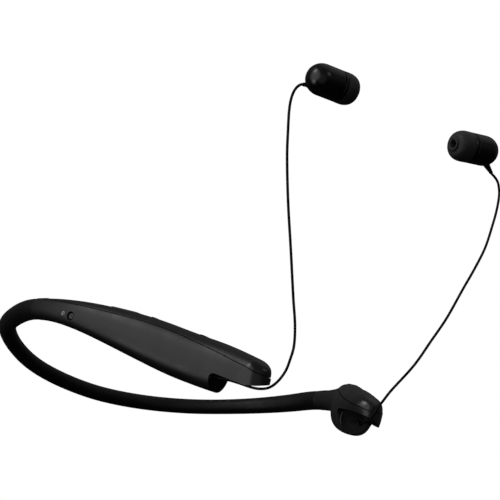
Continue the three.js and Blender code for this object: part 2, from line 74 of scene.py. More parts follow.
GAP = 0.0003                  # along the parting line of lid and housing
LID_INSET = 0.00016           # the lower moulding's lip stands proud of the lid by this
NOTCH_DROP = 0.0032           # lower edge of the hood, below the spine
NOTCH_RADIUS = 0.0022         # rounding of the corner between the hood and the socket face
SOCKET_RADIUS = 0.0058
SOCKET_OUT = 0.0002           # the socket's centre, outward from the spine
CORD_OUTLET = (0.0026, -0.0041)   # out and up from the spine, on the socket face
EARBUD_RADIUS = 0.0059
TIP_RADIUS = 0.00595
CORD_DIAMETER = 0.0010
CORE_DIAMETER = 0.0012
LEAD_DIAMETER = 0.0010
BORE_RADIUS = 0.0019
BEND_REACH = 0.042            # stretch of the band beside each seam, where the real band bends as an arm swings
BUTTON_HOLE = 0.0049          # round holes of the lid
PAWL_TOP = 0.00195            # above the spine; the retract button's stem reaches down to it
MARK_SINK = -0.00004          # the marks on a rocker stand on its crown
PLATE_ROUND = 96              # points round a full section or a large turned piece

# Controls, by their distance from the seam.
LAMP, POWER, PORT, ROCKER, CALL, RETRACT = 0.0188, 0.0227, 0.034, 0.042, 0.055, 0.0764
POWER_UP = -0.0012
LAMP_UP = -0.0009

# Right half of the band's centreline, from the nape to the end of the hood.
SPINE = [
    (0, -0.003, 0), (0.013, -0.0029, 0.0006), (0.025, -0.001, 0.0018), (0.036, 0.0033, 0.0034),
    (0.0465, 0.0104, 0.0055), (0.0577, 0.0206, 0.0086), (0.0664, 0.0328, 0.0117), (0.0705, 0.0475, 0.0141),
    (0.0718, 0.0628, 0.016), (0.0701, 0.0781, 0.0157), (0.065, 0.0928, 0.0142), (0.0573, 0.1065, 0.0118),
    (0.0487, 0.1193, 0.009), (0.0404, 0.1317, 0.006), (0.0331, 0.1444, 0.0034), (0.028, 0.1555, 0.0019),
    (0.0249, 0.1645, 0.0015), (0.024, 0.1695, 0.0015),
]

# Free cords from socket to strain relief, through listed points.
RIGHT_CORD = [
    (0.03465, 0.14725, -0.001), (0.0333, 0.1493, -0.0011), (0.0312, 0.152, -0.0013),
    (0.0283, 0.1548, -0.0017), (0.0261, 0.158, -0.0023), (0.0247, 0.1615, -0.0026),
    (0.0237, 0.165, -0.0022), (0.0234, 0.168, -0.0012), (0.0235, 0.172, 0.0014),
    (0.0235, 0.1745, 0.0047), (0.0235, 0.1755, 0.0083), (0.0235, 0.1761, 0.013), (0.0255, 0.177, 0.02),
    (0.0291, 0.1774, 0.0294), (0.0348, 0.1778, 0.0453), (0.0408, 0.1781, 0.062),
    (0.0456, 0.1783, 0.0777), (0.0474, 0.1785, 0.0852), (0.0484, 0.1787, 0.0893),
    (0.049, 0.1788, 0.0921), (0.0495, 0.179, 0.096), (0.0494, 0.1794, 0.0993), (0.0486, 0.1797, 0.1016),
    (0.0476, 0.1798, 0.1028), (0.0469, 0.1798, 0.1033),
]
LEFT_CORD = [
    (-0.03465, 0.14725, -0.001), (-0.0332, 0.1498, -0.0013), (-0.0312, 0.1528, -0.002),
    (-0.0286, 0.156, -0.0025), (-0.0264, 0.1596, -0.0027), (-0.0246, 0.1633, -0.0026),
    (-0.0237, 0.1663, -0.0021), (-0.0235, 0.1683, 0.0002), (-0.0238, 0.17, 0.0032),
    (-0.0241, 0.172, 0.0061), (-0.0246, 0.174, 0.0093), (-0.0318, 0.176, 0.0216),
    (-0.0367, 0.1768, 0.0321), (-0.0416, 0.1772, 0.0423), (-0.0463, 0.1776, 0.055),
    (-0.05, 0.178, 0.0649), (-0.0529, 0.1782, 0.074), (-0.0542, 0.1784, 0.0835),
    (-0.0546, 0.1786, 0.089), (-0.0544, 0.1788, 0.0945), (-0.0536, 0.179, 0.0976),
    (-0.0519, 0.1793, 0.1002), (-0.0498, 0.1794, 0.1016), (-0.048, 0.1794, 0.1023),
]
CORDS = {"right": (RIGHT_CORD, 0.1374), "left": (LEFT_CORD, 0.1388)}

# Earbud centres and cord outlets on the right side; the left ones are mirrored.
EARBUDS = {
    "right": {"centre": (0.0341, 0.1809, 0.1079), "tilt": 3,
              "outlet": (0.0403, 0.1805, 0.1048), "way": (0.97, -0.1, -0.22)},
    "left": {"centre": (0.0344, 0.1809, 0.1079), "tilt": -10,
             "outlet": (0.0421, 0.1804, 0.1055), "way": (0.87, -0.15, -0.465)},
}
RELIEF_LENGTH = 0.0064


# ---------------------------------------------------------------- curves and the spine's frame
def smoothstep(x, low, high):
    t = np.clip((x - low) / (high - low), 0, 1)
    return t * t * (3 - 2 * t)


def unit(v):
    return v / np.linalg.norm(v, axis=-1, keepdims=True)


def smooth_line(points, steps):
    """A centripetal Catmull-Rom curve through the points, as one dense list."""
    p = np.array(points, float)
    p = np.vstack([2 * p[0] - p[1], p, 2 * p[-1] - p[-2]])
    t = np.arange(steps)[:, None] / steps
    made = []
    for p0, p1, p2, p3 in zip(p, p[1:], p[2:], p[3:]):
        d0, d1, d2 = (math.sqrt(np.linalg.norm(b - a)) for a, b in ((p0, p1), (p1, p2), (p2, p3)))
        start = d1 * ((p1 - p0) / d0 - (p2 - p0) / (d0 + d1) + (p2 - p1) / d1)
        end = d1 * ((p2 - p1) / d1 - (p3 - p1) / (d1 + d2) + (p3 - p2) / d2)
        made.append(p1 + start * t + (3 * (p2 - p1) - 2 * start - end) * t**2
                    + (2 * (p1 - p2) + start + end) * t**3)
    return np.vstack([*made, p[-2]])


def even_line(line, count):
    """The same line with its points at even distances."""
    line = np.asarray(line, float)
    at = np.concatenate([[0], np.cumsum(np.linalg.norm(np.diff(line, axis=0), axis=1))])
    even = np.linspace(0, at[-1], count)
    return np.column_stack([np.interp(even, at, line[:, k]) for k in range(line.shape[1])]), at[-1]


def eased(line, reach):
    """The line with its small kinks averaged out over reach points, both ends kept."""
    weights = np.exp(-0.5 * (np.arange(-3 * reach, 3 * reach + 1) / reach) ** 2)
    weights /= weights.sum()
    pad = 3 * reach
    before = 2 * line[0] - line[pad:0:-1]
    after = 2 * line[-1] - line[-2:-pad - 2:-1]
    padded = np.vstack([before, line, after])
    return np.column_stack([np.convolve(padded[:, k], weights, "valid") for k in range(3)])


MIRRORED = [(-x, y, z) for x, y, z in SPINE[:0:-1]]
dense, SPINE_LENGTH = even_line(smooth_line(MIRRORED + SPINE, 60), 1861)
SPINE_LINE = eased(dense, 12)
SPINE_WAY = unit(np.gradient(SPINE_LINE, axis=0))
SPINE_AT = np.linspace(-SPINE_LENGTH / 2, SPINE_LENGTH / 2, len(SPINE_LINE))


def place(along, out, up):
    """Points at distances along from the right seam, out from the spine and up from it."""
    distance, out, up = np.broadcast_arrays(np.asarray(along, float) + SEAM_AT, out, up)
    at = np.stack([np.interp(distance, SPINE_AT, SPINE_LINE[:, k]) for k in range(3)], -1)
    way = unit(np.stack([np.interp(distance, SPINE_AT, SPINE_WAY[:, k]) for k in range(3)], -1))
    over = distance - np.clip(distance, SPINE_AT[0], SPINE_AT[-1])
    outward = unit(np.cross(way, (0, 0, 1)))
    upward = np.cross(outward, way)
    return at + way * over[..., None] + outward * out[..., None] + upward * up[..., None]


def arm_matrix(along, out=0.0, up=0.0):
    """A matrix whose X, Y and Z run outward, along and upward on the right arm."""
    origin = place(along, out, up)
    way = unit(place(along + 0.0005, 0, 0) - place(along - 0.0005, 0, 0))
    outward = unit(np.cross(way, (0, 0, 1)))
    upward = np.cross(outward, way)
    return np.array([[*row, o] for row, o in zip(np.column_stack([outward, way, upward]), origin)])


# ---------------------------------------------------------------- arm outline
def swell(along):
    return smoothstep(along, 0, 0.074)


def top_swell(along):
    """The top rises sooner than the sides swell."""
    return 1 - (1 - smoothstep(along, -0.010, 0.066)) / (1 - smoothstep(0, -0.010, 0.066))


def nose_round(along, length, wall=0.0):
    """Plan rounding of the hood's end: 1 behind it, 0 at a wall's thickness from the end."""
    share = (along - (ARM_LENGTH - length)) / (length - wall)
    return np.sqrt(1 - np.clip(share, 0, 1) ** 2)


def nose_fall(along):
    return 0.35 + 0.65 * nose_round(along, NOSE_OUTER)


def ridge(along):
    drop = 0.0054 * np.maximum(0, (along - 0.082) / 0.031) ** 2
    return SEAM_RADIUS + (HEIGHT_ABOVE - SEAM_RADIUS) * top_swell(along) - drop


def top_of(along):
    return ridge(along) * nose_fall(along)


def bottom_of(along):
    return SEAM_RADIUS + (HEIGHT_BELOW - SEAM_RADIUS) * swell(along)


def half_width_of(along):
    taper = 0.0026 * np.maximum(0, (along - 0.090) / 0.023) ** 2
    return SEAM_RADIUS + (HALF_WIDTH - SEAM_RADIUS) * swell(along) - taper


def split_at(along):
    depth = 0.0013 + 0.0019 * smoothstep(along, 0, 0.040) + 0.0018 * smoothstep(along, 0.064, 0.099)
    return (ridge(along) - depth) * nose_fall(along)


def hood_edge(along, out):
    """Lower edge of the hood: it slants up from the outer side to the inner one."""
    share = smoothstep(along, HOOD_START, HOOD_START + 0.020)
    into = np.maximum(0, HOOD_START + NOTCH_RADIUS - np.maximum(along, HOOD_START))
    corner = NOTCH_RADIUS - math.sqrt(max(0, NOTCH_RADIUS**2 - into**2))
    slope = 0.2 + 0.13 * share
    return -NOTCH_DROP - 0.001 * share + slope * (0.007 - 0.0028 * share - out) - corner


def squared(value, power):
    return np.sign(value) * np.abs(value) ** power


def section(along, angles, inset=0.0):
    """Outline of the arm at one station, as (out, up) for the angles."""
    cos, sin = np.cos(angles), np.sin(angles)
    nose = np.where(cos > 0, nose_round(along, NOSE_OUTER, inset), nose_round(along, NOSE_INNER, inset))
    half = np.maximum(0, half_width_of(along) * nose - inset)
    height = np.where(sin > 0, top_of(along), bottom_of(along)) - inset
    return np.column_stack([squared(cos, SECTION_POWER) * half, squared(sin, SECTION_POWER) * height])


def angle_at(along, up, inset=0.0):
    """The outer side's angle where the outline passes a height."""
    height = (top_of(along) if up > 0 else bottom_of(along)) - inset
    return math.copysign(math.asin(min(1, abs(up) / height) ** (1 / SECTION_POWER)), up)


def hood_angles(along, outline):
    """Angles where the outline crosses the hood's lower edge, on the outer and on the inner side."""
    angles = np.radians(np.linspace(-90, 270, 2881))
    loop = outline(angles)
    above = np.flatnonzero(loop[:, 1] > hood_edge(along, loop[:, 0]))
    return angles[above[0]], angles[above[-1]]


def outline_stretch(along, start, end, count, inset=0.0):
    """Even points of the outline between two angles."""
    return even_line(section(along, np.linspace(start, end, 160), inset), count)[0]


# ---------------------------------------------------------------- mesh helpers
def grid_faces(rows, columns, closed=False):
    """Quads of a grid whose vertices run row by row."""
    last = columns if closed else columns - 1
    return [(r * columns + c, r * columns + (c + 1) % columns,
             (r + 1) * columns + (c + 1) % columns, (r + 1) * columns + c)
            for r in range(rows - 1) for c in range(last)]


def disc_faces(first, count, flip=False):
    """One polygon over a loop of vertices."""
    loop = list(range(first, first + count))
    return [tuple(reversed(loop)) if flip else tuple(loop)]


def full_turn(count):
    return np.linspace(0, 2 * math.pi, count, endpoint=False)


def stadium(length, width, count=64):
    """A loop with round ends, as (along, out) about its middle."""
    radius = width / 2
    cos = np.cos(full_turn(count))
    shift = np.where(cos >= 0, length / 2 - radius, radius - length / 2)
    return np.column_stack([radius * cos + shift, radius * np.sin(full_turn(count))])


def stacked(loops):
    """A solid whose skin runs from loop to loop, closed over the first and the last."""
    count = len(loops[0])
    faces = grid_faces(len(loops), count, closed=True) + disc_faces(0, count, True)
    return np.vstack(loops), faces + disc_faces(count * (len(loops) - 1), count)


def joined(*parts):
    """Several (vertices, faces) as one."""
    vertices, faces = [], []
    for v, f in parts:
        shift = len(vertices)
        vertices += [tuple(p) for p in v]
        faces += [tuple(i + shift for i in face) for face in f]
    return vertices, faces


def moved(shape, matrix):
    matrix = np.array(matrix, float)
    v = np.array(shape[0], float)
    turned = v @ matrix[:3, :3].T + matrix[:3, 3]
    flip = np.linalg.det(matrix[:3, :3]) < 0
    return turned, [tuple(reversed(f)) if flip else f for f in shape[1]]


def mirrored(shape):
    return moved(shape, np.diag([-1.0, 1, 1, 1]))


def rounded(profile, radius, steps=5):
    """A profile with its inner corners rounded."""
    p = [np.array(q, float) for q in profile]
    made = [p[0]]
    for before, corner, after in zip(p, p[1:], p[2:]):
        a, b = before - corner, after - corner
        reach = min(radius, 0.45 * np.linalg.norm(a), 0.45 * np.linalg.norm(b))
        start, end = corner + unit(a) * reach, corner + unit(b) * reach
        for t in np.linspace(0, 1, steps):
            made.append((1 - t) ** 2 * start + 2 * t * (1 - t) * corner + t**2 * end)
    return [*made, p[-1]]


def lathe(profile, around=72):
    """A body turned about Y from (radius, height) points; ends on the axis are pinched shut."""
    angles = full_turn(around)
    rings = [np.column_stack([r * np.cos(angles), np.full(around, y), r * np.sin(angles)])
             for r, y in profile]
    return np.vstack(rings), grid_faces(len(rings), around, closed=True)


def outward_lathe(profile, along, out, up, around=56):
    """A turned body whose axis runs outward from the arm."""
    turned = moved(lathe(profile, around), Matrix.Rotation(-math.pi / 2, 4, "Z"))
    return moved(turned, arm_matrix(along, out, up))


def tube(line, radius, around):
    """A round tube along a line of points, closed at both ends; radius may vary along it."""
    line = np.asarray(line, float)
    radius = np.broadcast_to(radius, len(line))
    way = unit(np.gradient(line, axis=0))
    side = unit(np.cross(way, (0.1, 0.2, 1)))
    over = np.cross(side, way)
    angles = full_turn(around)
    ring = side[:, None] * np.cos(angles)[None, :, None] + over[:, None] * np.sin(angles)[None, :, None]
    return stacked(list(line[:, None] + ring * radius[:, None, None]))


def new_mesh(name, shape):
    vertices, faces = shape
    mesh = bpy.data.meshes.new(name)
    mesh.from_pydata([tuple(map(float, v)) for v in vertices], [], [tuple(map(int, f)) for f in faces])
    mesh.validate()
    piece = bpy.data.objects.new(name, mesh)
    bpy.context.scene.collection.objects.link(piece)
    weld(piece)
    return piece


def weld(piece):
    """Joins vertices that lie together, drops loose ones and turns every face outward."""
    mesh = bmesh.new()
    mesh.from_mesh(piece.data)
    bmesh.ops.remove_doubles(mesh, verts=mesh.verts, dist=2e-6)
    loose = [v for v in mesh.verts if not v.link_faces]
    bmesh.ops.delete(mesh, geom=loose, context="VERTS")
    bmesh.ops.recalc_face_normals(mesh, faces=mesh.faces)
    mesh.to_mesh(piece.data)
    mesh.free()


def bake(piece):
    """Applies the piece's modifiers."""
    evaluated = piece.evaluated_get(bpy.context.evaluated_depsgraph_get())
    mesh = bpy.data.meshes.new_from_object(evaluated)
    piece.modifiers.clear()
    piece.data = mesh


def thicken(piece, thickness, edge, segments=3):
    """Gives a skin its wall, inward, and rounds its edges."""
    wall = piece.modifiers.new("wall", "SOLIDIFY")
    wall.thickness = thickness
    wall.offset = -1
    wall.use_even_offset = True
    wall.use_rim = True
    round_edges(piece, edge, segments)


def round_edges(piece, edge, segments=3):
    bevel = piece.modifiers.new("edges", "BEVEL")
    bevel.width = edge
    bevel.segments = segments
    bevel.limit_method = "ANGLE"
    bevel.angle_limit = math.radians(38)
    bake(piece)


def cut_out(piece, *shapes):
    """Cuts the shapes out of the piece."""
    for shape in shapes:
        tool = new_mesh("tool", shape)
        cut = piece.modifiers.new("cut", "BOOLEAN")
        cut.operation = "DIFFERENCE"
        cut.solver = "EXACT"
        cut.object = tool
        bake(piece)
        bpy.data.objects.remove(tool)


def finish_piece(piece, node_names, body, look, smooth_angle=34):
    """Shading, material and body, in place of the CAD nodes."""
    piece.data.shade_smooth()
    piece.data.set_sharp_from_angle(angle=math.radians(smooth_angle))
    piece.data.materials.clear()
    piece.data.materials.append(MATERIALS[look])
    if node_names:
        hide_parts(*node_names)
    if body:
        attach(piece, body)
    return piece


def add(name, shape, node_names, body, look, **options):
    return finish_piece(new_mesh(name, shape), node_names, body, look, **options)


def add_sided(side, name, shape, node_names, body, look, **options):
    """Adds a piece made on the right side to one side."""
    shape = shape if side == "right" else mirrored(shape)
    names = [f"{side}_{n}" for n in node_names]
    return add(f"{side}_{name}", shape, names, f"{side}_{body}", look, **options)


# ---------------------------------------------------------------- materials
POLISH_WAY = (-0.67, 1, -0.94)            # across the plane where the hood's polished end starts
POLISH_FROM, POLISH_TO = 0.1366, 0.1374   # the plane's distance, and where the polish is full
POLISHED = 0.17


class Look:
    """A Principled material with a few procedural layers."""

    def __init__(self, slot, colour, roughness, **settings):
        self.material = bpy.data.materials.new(slot)
        self.material.use_nodes = True
        self.nodes = self.material.node_tree.nodes
        self.links = self.material.node_tree.links
        self.shader = self.nodes["Principled BSDF"]
        self.place = self.nodes.new("ShaderNodeTexCoord").outputs["Object"]
        self.shader.inputs["Base Color"].default_value = (*colour, 1)
        self.shader.inputs["Roughness"].default_value = roughness
        for name, value in settings.items():
            self.shader.inputs[name.replace("_", " ")].default_value = value
        self.height = None

    def noise(self, scale, detail=3.0, stretch=None):
        node = self.nodes.new("ShaderNodeTexNoise")
        node.inputs["Scale"].default_value = scale
        node.inputs["Detail"].default_value = detail
        source = self.place
        if stretch:
            mapping = self.nodes.new("ShaderNodeMapping")
            mapping.inputs["Scale"].default_value = stretch
            self.links.new(source, mapping.inputs["Vector"])
            source = mapping.outputs["Vector"]
        self.links.new(source, node.inputs["Vector"])
        return node.outputs["Fac"]

    def ranged(self, source, low, high, from_low=0.3, from_high=0.7):
        node = self.nodes.new("ShaderNodeMapRange")
        node.inputs["From Min"].default_value = from_low
        node.inputs["From Max"].default_value = from_high
        node.inputs["To Min"].default_value = low
        node.inputs["To Max"].default_value = high
        self.links.new(source, node.inputs["Value"])
        return node.outputs["Result"]

    def vary_roughness(self, scale, low, high, **options):
        varied = self.ranged(self.noise(scale, **options), low, high)
        self.links.new(varied, self.shader.inputs["Roughness"])

    def vary_colour(self, scale, dark, light, **options):
        ramp = self.nodes.new("ShaderNodeValToRGB")
        ramp.color_ramp.elements[0].position = 0.35
        ramp.color_ramp.elements[0].color = (*dark, 1)
        ramp.color_ramp.elements[1].position = 0.65
        ramp.color_ramp.elements[1].color = (*light, 1)
        self.links.new(self.noise(scale, **options), ramp.inputs["Fac"])
        self.links.new(ramp.outputs["Color"], self.shader.inputs["Base Color"])

    def polish_nose(self, roughness):
        """The hood's end is polished, beyond a plane that slants across the arm."""
        folded = self.nodes.new("ShaderNodeVectorMath")
        folded.operation = "ABSOLUTE"
        self.links.new(self.place, folded.inputs[0])
        reach = self.nodes.new("ShaderNodeVectorMath")
        reach.operation = "DOT_PRODUCT"
        reach.inputs[1].default_value = POLISH_WAY
        self.links.new(folded.outputs["Vector"], reach.inputs[0])
        mix = self.nodes.new("ShaderNodeMix")
        mix.data_type = "FLOAT"
        polish = self.ranged(reach.outputs["Value"], 0, 1, POLISH_FROM, POLISH_TO)
        self.links.new(polish, mix.inputs["Factor"])
        self.links.new(roughness, mix.inputs[2])
        mix.inputs[3].default_value = POLISHED
        self.links.new(mix.outputs[0], self.shader.inputs["Roughness"])

    def bump(self, source, distance, strength=1.0):
        node = self.nodes.new("ShaderNodeBump")
        node.inputs["Distance"].default_value = distance
        node.inputs["Strength"].default_value = strength
        self.links.new(source, node.inputs["Height"])
        if self.height:
            self.links.new(self.height, node.inputs["Normal"])
        self.height = node.outputs["Normal"]
        self.links.new(self.height, self.shader.inputs["Normal"])


def satin_plastic():
    """Moulded plastic with a fine spark-eroded texture and slight handling wear."""
    look = Look("satin_plastic", (0.020, 0.020, 0.021), 0.42)
    look.vary_colour(60, (0.017, 0.017, 0.018), (0.023, 0.023, 0.024))
    look.polish_nose(look.ranged(look.noise(150), 0.36, 0.46))
    look.bump(look.noise(5200, detail=4), 0.000012)
    return look.material


def band_silicone():
    """Soft-touch silicone: dull, with a fine grain and faint lint."""
    look = Look("band_silicone", (0.006, 0.006, 0.0065), 0.5)
    look.shader.inputs["Specular IOR Level"].default_value = 0.3
    look.shader.inputs["Sheen Weight"].default_value = 0.04
    look.shader.inputs["Sheen Roughness"].default_value = 0.4
    look.vary_colour(90, (0.004, 0.004, 0.0045), (0.008, 0.008, 0.009))
    look.vary_roughness(220, 0.44, 0.56)
    look.bump(look.noise(6500, detail=3), 0.000010)
    return look.material


def gloss_plastic():
    """Polished piano black with faint flow waves and hairline wipe marks."""
    look = Look("gloss_plastic", (0.004, 0.004, 0.0045), 0.2)
    look.shader.inputs["Coat Weight"].default_value = 0.1
    look.shader.inputs["Coat Roughness"].default_value = 0.15
    look.vary_colour(80, (0.003, 0.003, 0.0035), (0.006, 0.006, 0.0065))
    look.vary_roughness(420, 0.20, 0.30)
    look.bump(look.noise(130, detail=1), 0.00002, 0.4)
    look.bump(look.noise(900, detail=2, stretch=(1, 9, 1)), 0.000002, 0.6)
    return look.material


def tip_silicone():
    """Matte silicone with a fine moulded grain."""
    look = Look("tip_silicone", (0.022, 0.022, 0.023), 0.62)
    look.shader.inputs["Sheen Weight"].default_value = 0.12
    look.shader.inputs["Sheen Roughness"].default_value = 0.5
    look.shader.inputs["Subsurface Weight"].default_value = 0.08
    look.shader.inputs["Subsurface Radius"].default_value = (0.0008, 0.0008, 0.0008)
    look.vary_colour(300, (0.018, 0.018, 0.019), (0.028, 0.028, 0.029))
    look.vary_roughness(700, 0.55, 0.7)
    look.bump(look.noise(4200, detail=4), 0.000014)
    return look.material


def cable_jacket():
    """Smooth soft jacket with faint draw lines."""
    look = Look("cable_jacket", (0.004, 0.004, 0.0045), 0.42)
    look.shader.inputs["Specular IOR Level"].default_value = 0.2
    look.vary_colour(160, (0.003, 0.003, 0.0035), (0.005, 0.005, 0.0055))
    look.vary_roughness(500, 0.36, 0.5)
    look.bump(look.noise(2600, detail=2), 0.000012)
    return look.material


def reel_plastic():
    """Natural acetal, slightly waxy."""
    look = Look("reel_plastic", (0.55, 0.54, 0.5), 0.4)
    look.vary_colour(200, (0.5, 0.49, 0.45), (0.6, 0.59, 0.55))
    look.vary_roughness(600, 0.34, 0.46)
    look.bump(look.noise(2500), 0.00001)
    return look.material


def spring_steel():
    """Drawn steel with marks along its length."""
    look = Look("spring_steel", (0.42, 0.42, 0.44), 0.3, Metallic=1.0)
    look.vary_roughness(900, 0.22, 0.38, stretch=(1, 12, 1))
    look.bump(look.noise(3000, stretch=(1, 14, 1)), 0.000004)
    return look.material


def steel_fittings():
    """Plated steel with a fine satin finish."""
    look = Look("steel_fittings", (0.55, 0.56, 0.58), 0.28, Metallic=1.0)
    look.vary_colour(400, (0.48, 0.49, 0.51), (0.6, 0.61, 0.63))
    look.vary_roughness(1500, 0.2, 0.36)
    look.bump(look.noise(6000), 0.000003)
    return look.material


def board_green():
    """Solder-masked laminate with copper tracks showing through."""
    look = Look("board_green", (0.02, 0.11, 0.05), 0.35)
    tracks = look.nodes.new("ShaderNodeTexBrick")
    tracks.inputs["Scale"].default_value = 900
    tracks.inputs["Mortar Size"].default_value = 0.03
    tracks.inputs["Color1"].default_value = (0.015, 0.095, 0.04, 1)
    tracks.inputs["Color2"].default_value = (0.02, 0.12, 0.055, 1)
    tracks.inputs["Mortar"].default_value = (0.06, 0.2, 0.07, 1)
    look.links.new(look.place, tracks.inputs["Vector"])
    look.links.new(tracks.outputs["Color"], look.shader.inputs["Base Color"])
    look.bump(tracks.outputs["Fac"], 0.00002)
    look.vary_roughness(900, 0.3, 0.42)
    return look.material


def cell_wrap():
    """Crinkled foil pouch."""
    look = Look("cell_wrap", (0.5, 0.52, 0.55), 0.35, Metallic=0.9)
    look.vary_roughness(500, 0.28, 0.45)
    look.bump(look.noise(350, detail=4), 0.00012)
    return look.material


def lens_clear():
    """Milky light guide; its pale colour is also a painted highlight, the ring of light a dimpled lens
    reflects.
    """
    look = Look("lens_clear", (0.75, 0.76, 0.78), 0.25)
    look.vary_colour(1500, (0.7, 0.71, 0.73), (0.82, 0.83, 0.85))
    look.bump(look.noise(2500), 0.000006)
    return look.material


MATERIALS = {make.__name__: make() for make in (
    satin_plastic, band_silicone, gloss_plastic, tip_silicone, cable_jacket, reel_plastic, spring_steel,
    steel_fittings, board_green, cell_wrap, lens_clear)}


# ---------------------------------------------------------------- camera
CAMERA_TARGET = np.array([0.000157, 0.097565, 0.061199])
CAMERA_DISTANCE = 0.650
CAMERA_ANGLE = math.radians(57.394)       # from +X towards +Y
CAMERA_RISE = math.radians(-12.498)
CAMERA_ROLL = math.radians(12.816)
CAMERA_LENS = 114.83


def add_camera():
    back = np.array([math.cos(CAMERA_ANGLE) * math.cos(CAMERA_RISE),
                     math.sin(CAMERA_ANGLE) * math.cos(CAMERA_RISE), math.sin(CAMERA_RISE)])
    right = unit(np.cross(-back, (0, 0, 1)))
    up = np.cross(right, -back)
    side = right * math.cos(CAMERA_ROLL) + up * math.sin(CAMERA_ROLL)
    top = -right * math.sin(CAMERA_ROLL) + up * math.cos(CAMERA_ROLL)
    camera = bpy.data.objects.new("camera", bpy.data.cameras.new("camera"))
    camera.data.sensor_width = 36
    camera.data.lens = CAMERA_LENS
    camera.data.clip_start = 0.01
    place_at = CAMERA_TARGET + back * CAMERA_DISTANCE
    camera.matrix_world = Matrix([[*row, p] for row, p in zip(np.column_stack([side, top, back]), place_at)]
                                 + [[0, 0, 0, 1]])
    bpy.context.scene.collection.objects.link(camera)
    bpy.context.scene.camera = camera


# ---------------------------------------------------------------- cords
def add_cord(side):
    route, length = CORDS[side]
    line = even_line(smooth_line(route, 12), 220)[0]
    curve = bpy.data.curves.new(f"{side}_cord", "CURVE")
    curve.dimensions = "3D"
    curve.bevel_depth = CORD_DIAMETER / 2
    curve.bevel_resolution = 5
    curve.use_fill_caps = True
    spline = curve.splines.new("POLY")
    spline.points.add(len(line) - 1)
    for point, p in zip(spline.points, line):
        point.co = (*p, 1)
    spline.use_smooth = True
    piece = bpy.data.objects.new(f"{side}_cord", curve)
    bpy.context.scene.collection.objects.link(piece)
    curve.materials.append(MATERIALS["cable_jacket"])
    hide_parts(f"{side}_earbud_cord")
    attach(piece, f"{side}_arm")
    relief = add_relief(side)


def add_relief(side):
    """Tapered, ribbed sleeve where the cord enters the earbud."""
    ribs = 5
    profile = [(0.00053, 0), (0.00145, 0), (0.00142, 0.0008)]
    pitch = (RELIEF_LENGTH - 0.002) / ribs
    for i in range(ribs):
        radius = 0.00138 - 0.0006 * i / ribs
        at = 0.0008 + pitch * i
        profile += [(radius, at), (radius, at + 0.6 * pitch), (radius - 0.00010, at + 0.72 * pitch),
                    (radius - 0.00010, at + 0.92 * pitch)]
    profile += [(0.00076, RELIEF_LENGTH - 0.0012), (0.00075, RELIEF_LENGTH - 0.0002),
                (0.00067, RELIEF_LENGTH), (0.00053, RELIEF_LENGTH)]
    shape = lathe([*profile, profile[0]], 40)
    bud = EARBUDS[side]
    turn = Vector((0, 1, 0)).rotation_difference(Vector(bud["way"])).to_matrix().to_4x4()
    matrix = Matrix.Translation(bud["outlet"]) @ turn
    return add_sided(side, "relief", moved(shape, matrix), ["cord_strain_relief"], "arm", "cable_jacket")


# ---------------------------------------------------------------- band
def band_radius(distance):
    return BACK_RADIUS + (SEAM_RADIUS - BACK_RADIUS) * smoothstep(np.abs(distance), 0.055, SEAM_AT)


def sleeve_shape():
    """Right half of the silicone sleeve: outer skin, rounded end lip, bore."""
    end = SEAM_AT - SEAM_GAP
    lip = 0.00035
    outer = [(d, band_radius(d)) for d in np.linspace(0, end - lip, 220)]
    turn = np.linspace(0, math.pi / 2, 6)[1:]
    edge = [(end - lip + lip * math.sin(t), band_radius(end) - lip + lip * math.cos(t)) for t in turn]
    bore = [(end, BORE_RADIUS), *[(d, BORE_RADIUS) for d in np.linspace(end - 0.0004, 0, 60)]]
    around = 56
    angles = full_turn(around)
    rings = [place(d - SEAM_AT, r * np.cos(angles), r * np.sin(angles)) for d, r in [*outer, *edge, *bore]]
    rings.append(rings[0])
    return np.vstack(rings), grid_faces(len(rings), around, closed=True)


def wire_shape(radius, up, reach):
    return tube(place(np.linspace(-SEAM_AT, reach, 120), 0, up), radius, 16)


def add_band():
    seam = place(0, 0, 0)
    begin = place(-BEND_REACH, 0, 0)
    rows = [
        ("band_sleeve", sleeve_shape(), "band_sleeve", "band_silicone"),
        ("band_core", wire_shape(CORE_DIAMETER / 2, 0.0008, 0.006), "band_spring_core", "spring_steel"),
        ("band_leads", wire_shape(LEAD_DIAMETER / 2, -0.0008, 0.011), "band_lead_wires", "cable_jacket"),
    ]
    for side, sign in (("right", 1), ("left", -1)):
        for name, shape, node, look in rows:
            shape = shape if side == "right" else mirrored(shape)
            piece = add(f"{side}_{name}", shape, [node], None, look)
            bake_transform(piece)


# ---------------------------------------------------------------- arm mouldings
LOW_COLUMNS, SIDE_COLUMNS, LID_COLUMNS = 50, 28, 44
LINER_COLUMNS = 64
CRADLE_UP = -0.0020
SAME = 1e-6                   # distances along the arm closer than this are the same station


def stations(start, end=ARM_LENGTH):
    """Distances along the arm, closer together at the notch and round the nose."""
    nose = ARM_LENGTH - NOSE_INNER + NOSE_INNER * np.sin(np.linspace(0, math.pi / 2, 30))
    notch = HOOD_START + NOTCH_RADIUS * (1 - np.cos(np.linspace(0, math.pi / 2, 9)))
    body = np.linspace(LID_START, HOOD_START, 90)
    rows = np.concatenate([np.linspace(0, LID_START, 8), body[1:], notch[1:],
                           np.linspace(notch[-1], nose[0], 18)[1:], nose[1:]])
    kept = rows[(rows > start + 1e-5) & (rows < end - 1e-5)]
    return np.concatenate([[start], kept, [end]])


